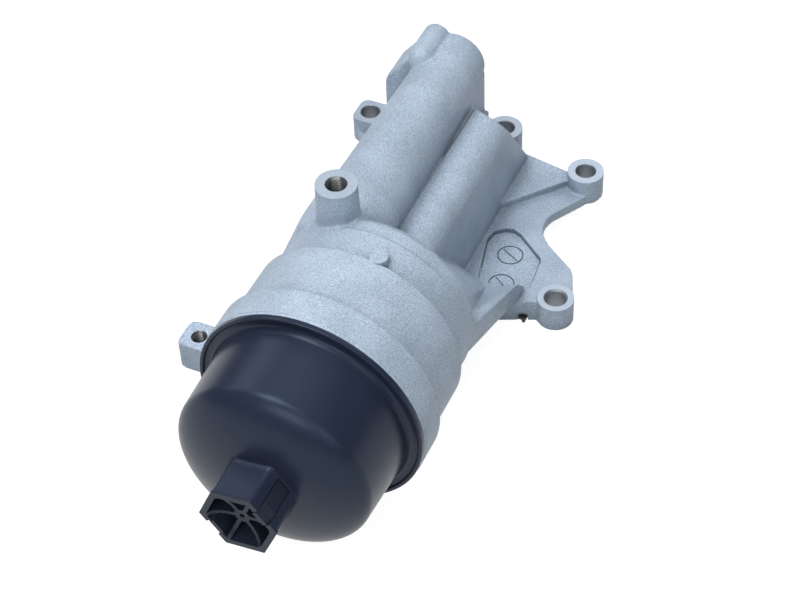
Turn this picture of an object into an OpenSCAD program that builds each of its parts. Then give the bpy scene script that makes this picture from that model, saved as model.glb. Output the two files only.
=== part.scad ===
// Oil filter housing: a cast body with a filter bowl, two oil galleries and a bolting flange,
// closed by a screw-on cap that carries the filter cartridge.
// Frame: origin on the mounting face under the filter axis, +Z away from the engine,
// the filter axis runs along Y with the cap towards -Y.

/* [Filter axis] */
// Height of the filter axis above the mounting face
axis_h = 46; // [46:0.5:56]
// Distance from the origin to the rim face of the bowl
rim_dist = 139.3; // [134:0.1:150]

/* [Bowl] */
// Radius of the band at the rim
rim_band_r = 45.2; // [44.5:0.1:45.8]
// Length of the band at the rim
rim_band_len = 13.7; // [10:0.1:16]
// Radius of the middle band
mid_band_r = 42.6; // [41.8:0.1:44]
// Length of the middle band
mid_band_len = 25.6; // [20:0.1:30]
// Radius of the band next to the galleries
neck_band_r = 39.9; // [39:0.1:41]
// Length of the band next to the galleries
neck_band_len = 14.4; // [10:0.1:20]
// Radius of the smooth bore that the cap's seal runs in
seal_bore_r = 41; // [40.5:0.1:42]
// Length of the smooth bore
seal_bore_len = 8; // [7:0.1:10]
// Radius of the bore where the cap's thread engages
thread_bore_r = 38.6; // [38:0.1:39.5]
// Length of the threaded stretch
thread_len = 14; // [10:0.5:18]
// Radius of the filter chamber
chamber_r = 36.4; // [36:0.1:37]
// Depth of the filter chamber behind the rim face
chamber_depth = 63; // [62.5:0.5:68]
// Thickness of the wall behind the chamber
chamber_back_wall = 4.5; // [3:0.5:6]
// Thickness of the chamber's side wall behind the bands
chamber_wall = 2.6; // [2.2:0.1:3.4]

/* [Galleries] */
// Sideways place of the inlet gallery
inlet_x = -20.4; // [-22:0.1:-19]
// Radius of the inlet gallery's back at the bowl
inlet_r_near = 16.2; // [15.5:0.1:17]
// Radius of the inlet gallery's back at its far end
inlet_r_far = 12.6; // [12:0.1:13.5]
// Height of the inlet gallery's crest above the filter axis
inlet_crest = 31.2; // [30:0.1:33]
// Far end of the inlet gallery, from the origin
inlet_end = 42.7; // [40:0.1:46]
// Extra radius of the thick stretch of the inlet gallery beside the bowl
collar_extra = 1.2; // [0.5:0.1:1.5]
// Length of the thick stretch beyond the bowl's last band
collar_len = 32.8; // [28:0.1:38]
// Radius of the oil passage inside the inlet gallery
inlet_bore_r = 8.5; // [7:0.5:9]
// Radius of the outlet gallery's back
outlet_r = 9; // [8.5:0.1:9.5]
// Radius of the oil passage inside the outlet gallery
outlet_bore_r = 5.5; // [4.5:0.5:6]
// Far end of the outlet gallery at its top
outlet_end = 27; // [24:0.5:30]
// Slope of the outlet gallery's far end
outlet_slope = 57; // [50:1:65]
// Sideways place of the outlet gallery's outer wall
outlet_wall_x = 10; // [9.6:0.1:11]

/* [Flange] */
// Thickness of the flange plate
flange_t = 10.6; // [9:0.1:12]
// Height of the ledge along the body's left side
ledge_h = 40; // [36:0.5:44]
// Height of the raised triangular web
web_h = 14.4; // [13:0.1:16]
// Height of the raised bolt lugs above the mounting face
lug_h = 17.9; // [16:0.1:20]
// Height of the underside of the raised bolt lugs
lug_seat = 5.5; // [4.5:0.1:6.5]
// Outer radius of a raised bolt lug
lug_r = 7.75; // [7.2:0.05:8.5]
// Height of the low bolt lug
low_lug_h = 11.3; // [10.8:0.1:13]
// Outer radius of the low bolt lug
low_lug_r = 7.55; // [7.2:0.05:8.5]
// Radius of the bolt holes
bolt_r = 4.2; // [4.1:0.05:4.5]
// Depth of the recessed panel
panel_depth = 2; // [1.5:0.1:2.5]
// Width of the gasket groove
groove_w = 3; // [2.6:0.1:3.4]
// Depth of the gasket groove
groove_d = 2.4; // [2:0.1:3]
// Radius of the oil ports in the mounting face
port_r = 7; // [6:0.5:7.5]
// Depth of the relief pockets in the mounting face
relief_depth = 28; // [20:1:32]

/* [Bosses] */
// Height of the threaded boss's face above the filter axis
boss_top = 51.5; // [50:0.1:54]
// Radius of the threaded boss at its face
boss_r = 8; // [7.5:0.1:9]
// Core radius of the boss's thread
boss_core_r = 3.35; // [3.3:0.05:3.5]
// Depth of the boss's thread
boss_depth = 16; // [12:1:18]
// Thickness of the side lug beside the rim
side_lug_t = 13; // [11:0.5:15]
// Core radius of the side lug's thread
side_core_r = 2.55; // [2.5:0.05:2.7]

/* [Cap] */
// Outer radius of the cap's flange
cap_flange_r = 45; // [44:0.1:45.5]
// Thickness of the cap's flange
cap_flange_t = 2.1; // [1.8:0.1:3]
// Outer radius of the cap at its flange
cap_r = 39.2; // [38.8:0.1:40]
// Outer radius of the cap where the domed end starts
cap_end_r = 38.3; // [38:0.1:38.6]
// Length of the cap from the rim face to the start of the dome
cap_len = 29.1; // [27:0.1:32]
// Height of the domed end
dome_h = 13.3; // [12:0.1:15]
// Wall of the cap
cap_wall = 2.8; // [2.4:0.1:3.2]
// Width across the flats of the hexagon
hex_af = 27; // [26:0.5:28]
// Length of the hexagon beyond the dome's pole
hex_len = 15.4; // [13:0.1:18]
// Wall of the hexagon
hex_wall = 1.9; // [1.6:0.1:2.4]
// Turn of the hexagon about the filter axis
hex_turn = 6.9; // [0:0.1:59]
// Width of the slots in two of the hexagon's sides
hex_slot_w = 7; // [6:0.1:8]
// Length of those slots from the end face
hex_slot_len = 15.8; // [13:0.1:16]
// Pitch of the cap's thread
thread_pitch = 3; // [2:0.5:4]
// Depth of the dished end of the spoked insert
dish_depth = 3.4; // [2:0.1:4.5]

/* [Cartridge] */
// Outer radius of the pleats
pleat_r_out = 30.5; // [29:0.1:31]
// Inner radius of the pleats
pleat_r_in = 17; // [16:0.1:18]
// Number of pleats
pleat_count = 44; // [30:1:50]
// Thickness of the filter paper
paper_t = 0.8; // [0.6:0.1:1]
// Length of the cartridge
cartridge_len = 90; // [84:0.5:90.5]
// Thickness of the cartridge's end discs
disc_t = 3; // [2.5:0.1:4]
// Outer radius of the end discs
disc_r = 31.8; // [31.4:0.1:32.5]

/* [Standpipe] */
// Outer radius of the standpipe
pipe_r = 9.5; // [9:0.1:10]
// Wall of the standpipe
pipe_wall = 2; // [1.6:0.1:2.2]
// How far the standpipe stands out of the rim plane
pipe_out = 20; // [16:0.5:24]
// Radius of the drain pin at the foot of the cartridge
drain_pin_r = 2.6; // [2:0.1:2.8]

/* [Hidden] */
$fn = 96;

gap = 0.3;            // clearance between moving pieces
fit_gap = 0.05;       // clearance between pieces that are pressed or seated
over = 1;             // overshoot of a cut

rim_y = -rim_dist;
bowl_len = rim_band_len + mid_band_len + neck_band_len;
bowl_back_y = rim_y + bowl_len;

// Cartridge, from the rim plane: it hangs in the cap's dome and reaches back into the chamber
cartridge_top = cap_len + 3.9;
cartridge_bottom = cartridge_top - cartridge_len;

// Stack on the chamber's floor: seal, flap and the standpipe's flange
floor_seal_t = 2;
flap_t = 1.2;
pipe_flange_t = 1.8;
flap_z = floor_seal_t + 2 * fit_gap;
pipe_flange_z = flap_z + flap_t + 2 * fit_gap;
foot_room = pipe_flange_z + pipe_flange_t + gap;

// The chamber's floor lies behind the foot of a longer cartridge, with room for that stack
floor_depth = max(chamber_depth, foot_room - cartridge_bottom);
chamber_back_y = rim_y + floor_depth;
body_near_y = chamber_back_y - 6;

outlet_x = outlet_wall_x - outlet_r;
outlet_z = axis_h - 1;
outlet_top = outlet_z + outlet_r;
inlet_crest_z = axis_h + inlet_crest;
inlet_z_near = inlet_crest_z - inlet_r_near;
inlet_z_far = inlet_crest_z - inlet_r_far;
inlet_len = inlet_end - body_near_y;
inlet_tilt = atan((inlet_z_far - inlet_z_near) / inlet_len);

flange_near_y = -33.3;
flange_far_y = 50.7;
right_lug = [37.3, 46];
low_lug = [50.6, -22.8];
left_lug = [-64.1, 46];
back_lug = [-5.2, 58.8];
notch_c = [44.5, 17.5];
notch_r = 14.2;
side_lug = [-54.3, rim_y + 14.5];
boss_xy = [-16.5, bowl_back_y + 7.8];
inlet_port = [-25, 21];
outlet_port = [0, -16];
drain_xy = [-12, -24];
drain_port = [-12, -12];

// Frame with its origin at the centre of the rim face and +Z out of the bowl
module on_axis() translate([0, rim_y, axis_h]) rotate([90, 0, 0]) children();

// Extrudes a section drawn in X and Z between two places along Y
module along_y(y0, y1) translate([0, y1, 0]) rotate([90, 0, 0]) linear_extrude(y1 - y0) children();

// Rectangle with its lower left corner at p and rounded corners
module round_rect(p, size, r) translate(p) {
    translate([r, 0]) square([size.x - 2 * r, size.y]);
    translate([0, r]) square([size.x, size.y - 2 * r]);
    for (x = [r, size.x - r], y = [r, size.y - r]) translate([x, y]) circle(r);
}

// Ring between two radii
module ring(r_out, r_in, h) difference() {
    cylinder(r = r_out, h = h);
    translate([0, 0, -over]) cylinder(r = r_in, h = h + 2 * over);
}

// Bowl

module bowl_outside() on_axis() rotate_extrude() polygon([
    [0, 0], [rim_band_r - 0.6, 0], [rim_band_r, -0.6], [rim_band_r, -rim_band_len],
    [mid_band_r, -rim_band_len - 0.4], [mid_band_r, -rim_band_len - mid_band_len],
    [neck_band_r, -rim_band_len - mid_band_len - 0.4], [neck_band_r, -bowl_len],
    [chamber_r + chamber_wall, -bowl_len - 0.4], [chamber_r + chamber_wall, -floor_depth + 3],
    [chamber_r + chamber_wall - 4, -floor_depth - 1.5],
    [chamber_r + chamber_wall - 8, -floor_depth - chamber_back_wall],
    [0, -floor_depth - chamber_back_wall]]);

module bowl_inside() on_axis() rotate_extrude() polygon([
    [0, over], [seal_bore_r + 0.9, over], [seal_bore_r + 0.9, 0], [seal_bore_r, -1.2],
    [seal_bore_r, -seal_bore_len], [thread_bore_r, -seal_bore_len - 1.4],
    [thread_bore_r, -seal_bore_len - 1.4 - thread_len],
    [chamber_r, -seal_bore_len - 1.4 - thread_len - thread_pitch / 2],
    [chamber_r, -floor_depth + 4], [chamber_r - 3, -floor_depth], [0, -floor_depth]]);

// Galleries

module inlet_back(extra, y0, y1) intersection() {
    translate([inlet_x, body_near_y, inlet_z_near]) rotate([-90 + inlet_tilt, 0, 0])
        cylinder(r1 = inlet_r_near + extra, r2 = inlet_r_far + extra, h = inlet_len + 2);
    translate([inlet_x - 40, y0, 0]) cube([80, y1 - y0, inlet_crest_z + 20]);
}

module inlet_walls() linear_extrude(inlet_z_near) polygon([
    [inlet_x - inlet_r_near, body_near_y], [inlet_x + inlet_r_near, body_near_y],
    [inlet_x + inlet_r_far, inlet_end], [inlet_x - inlet_r_far, inlet_end]]);

module outlet_section() {
    translate([outlet_x, outlet_z]) circle(outlet_r);
    translate([-5.5, 0]) square([outlet_x + 5.5, outlet_top]);
    square([outlet_wall_x, outlet_z]);
}

module outlet_gallery() difference() {
    along_y(body_near_y, flange_far_y - 0.6) outlet_section();
    // The far end slopes outwards from the crest down to the flange
    translate([-5.5, outlet_end, outlet_top]) rotate([0, 0, -20]) rotate([-outlet_slope, 0, 0])
        translate([-30, 0, 0]) cube([90, 80, 80]);
}

// Room left of the inlet gallery's near end, where the body narrows towards the bowl
module left_relief() linear_extrude(150) polygon([
    [-80, -60], [-37.4, -60], [-31.5, bowl_back_y], [-31.5, -100], [-80, -100]]);

module end_block() {
    along_y(26, inlet_end) polygon([
        [-46, 30], [-46, axis_h + 11.5], [-44.8, axis_h + 14.6], [-36.3, axis_h + 25],
        [-29, axis_h + 28], [inlet_x, axis_h + 29], [inlet_x, 30]]);
    translate([-28.8, 0, axis_h + 28.4]) {
        along_y(26, inlet_end) circle(5.8);
        translate([0, 26, 0]) sphere(5.8);
    }
}

// The underside rises from the flange's near edge to the back of the bowl
module underside() translate([-80, flange_near_y, 0]) rotate([-22, 0, 0]) translate([0, -90, -60])
    cube([160, 90, 60]);

module gallery_body() difference() {
    union() {
        inlet_back(0, body_near_y, inlet_end);
        inlet_back(collar_extra, body_near_y, bowl_back_y + collar_len);
        inlet_walls();
        outlet_gallery();
        linear_extrude(ledge_h) polygon([
            [-44.8, inlet_end], [-46, 26], [-49.3, -14], [-50.2, -34], [-48.5, -54],
            [-36, chamber_back_y], [5, chamber_back_y], [5, outlet_end - 6], [-6, outlet_end],
            [-6, inlet_end]]);
    }
    underside();
    left_relief();
}

// Flange

module plate_outline() difference() {
    polygon([
        [-48, flange_near_y], [30.1, flange_near_y], [37, -30.2], [44, -27.4], low_lug + [-2, -7.2],
        low_lug + [7.3, 0], [55.1, -15.1], [51.9, -6.9], [50.2, -4.5], [36, 5.7], [32.3, 24.7],
        [40.3, 38.1], right_lug, [28.9, 46.7], [outlet_wall_x - 3, flange_far_y], [-10, flange_far_y],
        [-10, inlet_end], [-44.8, inlet_end]]);
    translate(notch_c) circle(notch_r);
}

module flange_plate() {
    // Arms stand clear of the engine, the flange itself seats on it
    translate([0, 0, lug_seat]) linear_extrude(flange_t - lug_seat) plate_outline();
    linear_extrude(lug_seat + 0.5) intersection() {
        plate_outline();
        polygon([[-60, -60], [70, -60], [70, -5], [50.2, -4.5], [36, 5.7], [28, 14],
                 [outlet_wall_x, flange_far_y], [-60, flange_far_y]]);
    }
}

module raised_web() translate([0, 0, lug_seat]) linear_extrude(web_h - lug_seat) polygon([
    [outlet_wall_x - 1, 15.5], [31.4, 41.7], right_lug + [-1, 0], [28.9, 46.7],
    [outlet_wall_x - 3, flange_far_y], [outlet_wall_x - 3, 15]]);

module round_lug(p, r, z0, z1) translate([p.x, p.y, z0]) cylinder(r = r, h = z1 - z0);

module left_arm() {
    translate([0, 0, lug_seat]) linear_extrude(lug_h - lug_seat)
        round_rect(left_lug + [-6.4, -7.2], [26, 14.2], 3.5);
    translate([0, 0, lug_seat]) linear_extrude(flange_t - lug_seat)
        polygon([left_lug + [-5, -6], [-48, 22], [-44, 22], [-44, 42]]);
}

module back_arm() translate([back_lug.x - lug_r, inlet_end - 2, lug_seat])
    cube([2 * lug_r, back_lug.y - inlet_end + 2, flange_t - lug_seat]);

// Web from the bowl's right side down to the flange: a slope from the bowl's back and an outer
// strip with an upright outer face, with a crease between them
module gusset() {
    near_y = bowl_back_y - 3;
    crease_far = [23.2, 13];
    hull() {
        along_y(near_y - 1, near_y) polygon([
            [8, 20], [8, axis_h + 34], [24.2, axis_h + 30.4], [29.8, axis_h + 25.2],
            [34.6, axis_h + 18.5], [38, axis_h + 8], [36, 30]]);
        along_y(-31, -30) polygon([[4, 0], [4, 26], [13.3, 20.4], crease_far, [23.2, 0]]);
    }
    hull() {
        along_y(near_y - 1, near_y) polygon([
            [30, 33], [30, axis_h + 2], [37.2, axis_h + 1.4], [37, 34.8]]);
        along_y(-31, -30) polygon([[22, 6], crease_far, [36.6, 20.4], [36.6, 12]]);
        along_y(-22, -21) polygon([[33, 8], [33, flange_t], [37, flange_t], [37, 8.5]]);
    }
}

module boss() translate([boss_xy.x, boss_xy.y, axis_h]) {
    cylinder(r1 = boss_r + 1.6, r2 = boss_r, h = boss_top);
    translate([1.5, -1, boss_top - 21]) cylinder(r1 = boss_r + 3.2, r2 = boss_r - 1, h = 7);
}

module side_lug_block() translate([side_lug.x, side_lug.y, axis_h - side_lug_t])
    linear_extrude(side_lug_t) round_rect([-6.7, -6.2], [26, 13], 2.2);

module cast_nub() on_axis() translate([9, neck_band_r - 2, -rim_band_len - mid_band_len - 4.2])
    rotate([-90, 0, 0]) cylinder(r = 3.6, h = 3.2);

module date_dial(p, turn) translate([p.x, p.y, flange_t - panel_depth]) {
    translate([0, 0, -0.4]) ring(5.5, 5.1, over);
    rotate(turn) translate([-4.4, -0.3, -0.5]) cube([8.8, 0.6, over]);
}

module panel_recess() translate([0, 0, flange_t - panel_depth]) linear_extrude(over + panel_depth)
    polygon([[16.9, -24], [11.6, -1.2], [12.5, 4.2], [16, 7.4], [19.5, 8.3], [23.6, 6.7],
             [36.1, -3.2], [37, -5.1], [38.5, -20.5], [36, -26]]);

// Seal path on the mounting face

seal_loop = [[-43, -28], [33, -28], [43, -17], [36, -4], [27, 3], [5, 10], [4, 42], [-12, 46],
             [-40, 38]];
ear_x = 37.4;
ear_w = 3.2;
ear_y = -30.8;
ear_len = 6.6;

function seal_pt(i) = seal_loop[(i + len(seal_loop)) % len(seal_loop)];

// Outward normal of the loop's stretch that starts at point i
function seal_normal(i) = let (d = seal_pt(i + 1) - seal_pt(i)) [d.y, -d.x] / norm(d);

// Point i of the loop, moved outwards by w with a mitred corner
function seal_corner(i, w) = let (n0 = seal_normal(i - 1), n1 = seal_normal(i))
    seal_pt(i) + w * (n0 + n1) / (1 + n0 * n1);

module seal_path(w) {
    difference() {
        polygon([for (i = [0 : len(seal_loop) - 1]) seal_corner(i, w / 2)]);
        polygon([for (i = [0 : len(seal_loop) - 1]) seal_corner(i, -w / 2)]);
    }
    // Bridge between the inlet side and the outlet side
    translate([-42, 10 - w / 2]) square([46.5, w]);
    // Tail that carries the locating ear
    translate([ear_x + ear_w / 2 - w / 2, ear_y + 4]) square([w, 5]);
}

drain_hole_r = drain_pin_r + 0.8;

module casting_cuts() {
    bowl_inside();
    // Inlet passage from the port to the chamber, and its core opening at the far end
    translate([inlet_x, chamber_back_y - 3, inlet_z_near - 2]) rotate([-90 + inlet_tilt, 0, 0])
        cylinder(r = inlet_bore_r, h = inlet_end - chamber_back_y + 10);
    translate([inlet_port.x, inlet_port.y, -over]) cylinder(r = port_r, h = inlet_z_near);
    // Outlet passage from the standpipe to the port
    translate([0, chamber_back_y - 3, axis_h]) rotate([-90, 0, 0])
        cylinder(r = outlet_bore_r, h = outlet_port.y - chamber_back_y + 3);
    translate([outlet_port.x, outlet_port.y, -over]) cylinder(r = port_r - 1.5, h = axis_h);
    // Drain passage that the cartridge's pin keeps shut
    translate([drain_xy.x, chamber_back_y - 3, axis_h + drain_xy.y]) rotate([-90, 0, 0])
        cylinder(r = drain_hole_r, h = drain_port.y - chamber_back_y + 3);
    translate([drain_port.x, drain_port.y, -over])
        cylinder(r = drain_hole_r, h = axis_h + drain_xy.y + over);
    // Seat of the standpipe in the back of the chamber
    on_axis() translate([0, 0, -floor_depth - 3]) cylinder(r = pipe_r + fit_gap, h = 4);
    // Bolt holes and threads
    for (p = [right_lug, back_lug, left_lug, low_lug])
        translate([p.x, p.y, -over]) cylinder(r = bolt_r, h = lug_h + 2 * over);
    translate([low_lug.x, low_lug.y, low_lug_h - 0.7]) cylinder(r1 = bolt_r, r2 = bolt_r + 0.8, h = 0.8);
    translate([boss_xy.x, boss_xy.y, axis_h + boss_top - boss_depth]) cylinder(r = boss_core_r, h = 30);
    translate([boss_xy.x, boss_xy.y, axis_h + boss_top - 0.6])
        cylinder(r1 = boss_core_r, r2 = boss_core_r + 0.8, h = 0.8);
    translate([side_lug.x, side_lug.y, axis_h - side_lug_t - over])
        cylinder(r = side_core_r, h = side_lug_t + 2 * over);
    panel_recess();
    date_dial([23.4, -4.7], -30);
    date_dial([26.3, -21.5], 15);
    // Gasket groove and relief pockets in the mounting face
    translate([0, 0, -over]) linear_extrude(groove_d + over) seal_path(groove_w);
    translate([ear_x - 0.1, ear_y - 2, -over]) cube([ear_w + 0.2, ear_len + 2, 3 + over]);
    translate([0, 0, -over]) linear_extrude(relief_depth + over) {
        round_rect([-39, -23], [20, 22], 3);
        round_rect([-39, 13.5], [4.6, 20], 2);
        round_rect([-14, 13.5], [13, 22], 3);
    }
    translate([0, 0, -over]) linear_extrude(flange_t - 4 + over) round_rect([12, -23], [18, 16], 3);
}

module housing_casting() color([0.70, 0.74, 0.79]) difference() {
    union() {
        bowl_outside();
        gallery_body();
        end_block();
        flange_plate();
        raised_web();
        round_lug(right_lug, lug_r, lug_seat, lug_h);
        round_lug(back_lug, lug_r, lug_seat, lug_h);
        round_lug(low_lug, low_lug_r, 0, low_lug_h);
        left_arm();
        back_arm();
        gusset();
        boss();
        side_lug_block();
        cast_nub();
    }
    casting_cuts();
}

module flange_gasket() color([0.06, 0.06, 0.07]) {
    translate([0, 0, 0.1]) linear_extrude(groove_d - 0.1 - fit_gap) seal_path(groove_w - 0.4);
    // Locating ear in its slot through the flange's near wall
    translate([ear_x + 0.2, ear_y, 0.1]) difference() {
        cube([ear_w - 0.4, ear_len, 2.6]);
        translate([-over, -over, -over]) cube([1.6 + over, 1.2 + over, 1.2 + over]);
    }
}

module core_plug() color([0.75, 0.76, 0.78])
    translate([inlet_x, 0, inlet_z_near - 2 + inlet_len * tan(inlet_tilt)]) difference() {
        along_y(inlet_end - 6, inlet_end - 1) circle(inlet_bore_r - fit_gap);
        along_y(inlet_end - 4.6, inlet_end) circle(inlet_bore_r - 1.5);
    }

// Standpipe and bypass valve, drawn from the chamber's back wall outwards

pipe_base = -floor_depth;
pipe_tip = pipe_out;
valve_z = pipe_tip - 3;
spring_base = valve_z - 22;
pipe_bore = pipe_r - pipe_wall;
valve_r = pipe_bore - 0.6;

module standpipe() color([0.12, 0.12, 0.13]) on_axis() difference() {
    union() {
        translate([0, 0, pipe_base - 2.9]) cylinder(r = pipe_r, h = pipe_tip - pipe_base + 2.9 - 3);
        translate([0, 0, pipe_base + pipe_flange_z]) cylinder(r = pipe_r + 3.5, h = pipe_flange_t);
    }
    translate([0, 0, pipe_base - 4]) cylinder(r = pipe_bore - 1.2, h = pipe_tip - pipe_base + 6);
    translate([0, 0, spring_base]) cylinder(r = pipe_bore, h = 40);
    for (a = [0 : 90 : 270], z = [pipe_base + 12, pipe_base + 34]) rotate(a)
        translate([0, -2.5, z]) cube([pipe_r + 2, 5, 14]);
}

module standpipe_seal() color([0.05, 0.05, 0.05]) on_axis()
    translate([0, 0, pipe_base + fit_gap]) ring(pipe_r + 3, pipe_r + fit_gap, floor_seal_t);

module anti_drain_flap() color([0.08, 0.08, 0.08]) on_axis() difference() {
    translate([0, 0, pipe_base]) rotate_extrude() polygon([
        [pipe_r + 0.1, flap_z], [pipe_r + 4, flap_z], [chamber_r - 4, 0.6], [chamber_r - 4, 1.7],
        [pipe_r + 4, flap_z + flap_t], [pipe_r + 0.1, flap_z + flap_t]]);
    translate([drain_xy.x, drain_xy.y, pipe_base - over]) cylinder(r = drain_hole_r + 1, h = 6);
}

module bypass_seat() color([0.12, 0.12, 0.13]) on_axis() rotate_extrude() polygon([
    [pipe_bore - 2.5, pipe_tip], [pipe_bore - 2.5, pipe_tip - 2.6], [pipe_bore - fit_gap, pipe_tip - 2.6],
    [pipe_bore - fit_gap, pipe_tip - 3], [pipe_r, pipe_tip - 3], [pipe_r, pipe_tip - 1],
    [pipe_r - 1, pipe_tip]]);

module bypass_valve() color([0.72, 0.73, 0.75]) on_axis() rotate_extrude() polygon([
    [0, valve_z + 0.1], [valve_r - 0.9, valve_z + 0.1], [valve_r, valve_z - 0.6],
    [valve_r, valve_z - 1.6], [valve_r - 1.9, valve_z - 1.6], [valve_r - 1.9, valve_z - 4.5],
    [0, valve_z - 4.5]]);

module bypass_spring_seat() color([0.66, 0.67, 0.70]) on_axis()
    translate([0, 0, spring_base]) ring(pipe_bore - fit_gap, pipe_bore - 2.9, 1);

spring_r = pipe_bore - 1.5;
spring_wire = 0.5;
spring_turns = 6;
spring_z0 = spring_base + 1 + spring_wire + fit_gap;
spring_z1 = valve_z - 1.6 - spring_wire - fit_gap;
spring_steps = 14;
spring_sides = 6;

// One point of the spring wire's skin: step i along the helix, corner j round the wire
function spring_point(i, j) =
    let (t = i / (spring_turns * spring_steps), a = 360 * i / spring_steps, c = 360 * j / spring_sides,
         r = spring_r + spring_wire * cos(c))
    [r * cos(a), r * sin(a), spring_z0 + t * (spring_z1 - spring_z0) + spring_wire * sin(c)];

module bypass_spring() color([0.6, 0.62, 0.65]) on_axis() {
    n = spring_turns * spring_steps;
    s = spring_sides;
    points = [for (i = [0 : n], j = [0 : s - 1]) spring_point(i, j)];
    sides = [for (i = [0 : n - 1], j = [0 : s - 1])
        [i * s + j, i * s + (j + 1) % s, (i + 1) * s + (j + 1) % s, (i + 1) * s + j]];
    ends = [[for (j = [s - 1 : -1 : 0]) j], [for (j = [0 : s - 1]) n * s + j]];
    polyhedron(points, concat(sides, ends));
}

// Cartridge: it hangs in the cap and slides over the standpipe

cap_inner_pole = cap_len + dome_h - cap_wall;
pleat_z0 = cartridge_bottom + disc_t;
pleat_len = cartridge_len - 2 * disc_t;
core_r = pleat_r_in - 2.6 * paper_t - gap;

// Corners of the folded paper: i counts half pleats, d moves to one face of the paper
function fold(i, d) = let (a = 180 * i / pleat_count)
    ((i % 2 == 0 ? pleat_r_out : pleat_r_in) + 2.6 * d) * [cos(a), sin(a)];

module filter_pleats() color([0.86, 0.80, 0.62]) on_axis() translate([0, 0, pleat_z0])
    linear_extrude(pleat_len) difference() {
        polygon([for (i = [0 : 2 * pleat_count - 1]) fold(i, 0)]);
        polygon([for (i = [0 : 2 * pleat_count - 1]) fold(i, -paper_t)]);
    }

module filter_core() color([0.10, 0.10, 0.11]) on_axis() difference() {
    translate([0, 0, pleat_z0]) ring(core_r, core_r - 1.6, pleat_len);
    for (a = [0 : 45 : 315], k = [0 : 5]) rotate(a)
        translate([core_r - 4, -2.2, pleat_z0 + 4 + 13 * k]) cube([6, 4.4, 9]);
}

inner_seal_r = pipe_r + 3.2;
pin_len = cartridge_bottom - pipe_base + 3.6;

module filter_inner_disc() color([0.10, 0.10, 0.11]) on_axis() translate([0, 0, cartridge_bottom]) {
    ring(disc_r, inner_seal_r, disc_t);
    // The pin keeps the housing's drain shut while the cartridge is in place
    translate([drain_xy.x, drain_xy.y, -pin_len]) {
        cylinder(r = drain_pin_r, h = 0.9);
        cylinder(r = drain_pin_r - 0.7, h = pin_len + 1);
        translate([0, 0, 2.3]) cylinder(r = drain_pin_r, h = pin_len - 2);
    }
}

module drain_pin_seal() color([0.05, 0.05, 0.05]) on_axis()
    translate([drain_xy.x, drain_xy.y, cartridge_bottom - pin_len + 0.95])
        ring(drain_pin_r + 0.4, drain_pin_r - 0.7 + fit_gap, 1.3);

module filter_inner_seal() color([0.45, 0.18, 0.12]) on_axis()
    translate([0, 0, cartridge_bottom]) ring(inner_seal_r - fit_gap, pipe_r + gap, disc_t);

module filter_outer_seal() color([0.45, 0.18, 0.12]) on_axis()
    translate([0, 0, pipe_tip - 4.2]) ring(core_r - 1.6 - fit_gap, pipe_r + gap, 1.8);

clip_r = core_r + 0.1;

module filter_outer_disc() color([0.10, 0.10, 0.11])
    on_axis() translate([0, 0, cartridge_top - disc_t]) {
    ring(disc_r, core_r - 3.6, disc_t);
    for (a = [0 : 120 : 240]) rotate(a) translate([clip_r - 1.6, -3, disc_t - 0.5]) {
        cube([1.4, 6, 3.6]);
        translate([0, 0, 2.6]) cube([2.1, 6, 1]);
    }
}

// Cap

cap_in_r = cap_end_r - cap_wall;
spigot_end = -seal_bore_len - 1.4 - thread_len;
o_ring_z = -4.6;
o_ring_wire = 1.45;
spigot_thread_r = thread_bore_r - gap;
lead_in = thread_pitch / 3;

function dome(r, z, h, a) = [r * cos(a), z + h * sin(a)];

module filter_cap_shell() rotate_extrude() polygon(concat(
    [[cap_in_r + 0.4, spigot_end + 1], [cap_in_r + 1.2, spigot_end],
     [spigot_thread_r - lead_in, spigot_end], [spigot_thread_r, spigot_end + lead_in],
     [spigot_thread_r, -seal_bore_len - 0.9],
     [seal_bore_r - gap, -seal_bore_len + 1],
     [seal_bore_r - gap, o_ring_z - 1.8], [seal_bore_r - 3, o_ring_z - 1.8],
     [seal_bore_r - 3, o_ring_z + 1.8], [seal_bore_r - gap, o_ring_z + 1.8],
     [seal_bore_r - gap, 0.1], [cap_flange_r, 0.1], [cap_flange_r, cap_flange_t - 0.4],
     [cap_flange_r - 0.5, cap_flange_t], [cap_flange_r - 1.6, cap_flange_t],
     [cap_flange_r - 2, cap_flange_t - 0.8], [cap_r + 1.9, cap_flange_t - 0.8],
     [cap_r + 1.4, cap_flange_t + 0.6], [cap_r, cap_flange_t + 1.6]],
    [for (a = [0 : 7.5 : 90]) dome(cap_end_r, cap_len, dome_h, a)],
    [for (a = [90 : -7.5 : 0]) dome(cap_in_r, cap_len, dome_h - cap_wall, a)]));

hex_r = hex_af / 2 / cos(30);
hex_z0 = cap_len + dome_h - 5;
hex_z1 = cap_len + dome_h + hex_len;
hex_floor = cap_len + dome_h + 0.6;
hex_hole_r = hex_r - hex_wall / cos(30);
hex_slot_z = hex_z1 - hex_slot_len;
spoke_r = hex_hole_r - fit_gap;
end_plate_t = 1;
tube_end = hex_z1 - end_plate_t;

// Turns to the two opposite sides that have the slots
module at_slots() for (s = [0, 1]) rotate(hex_turn + 30 + 180 * s) children();

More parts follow.
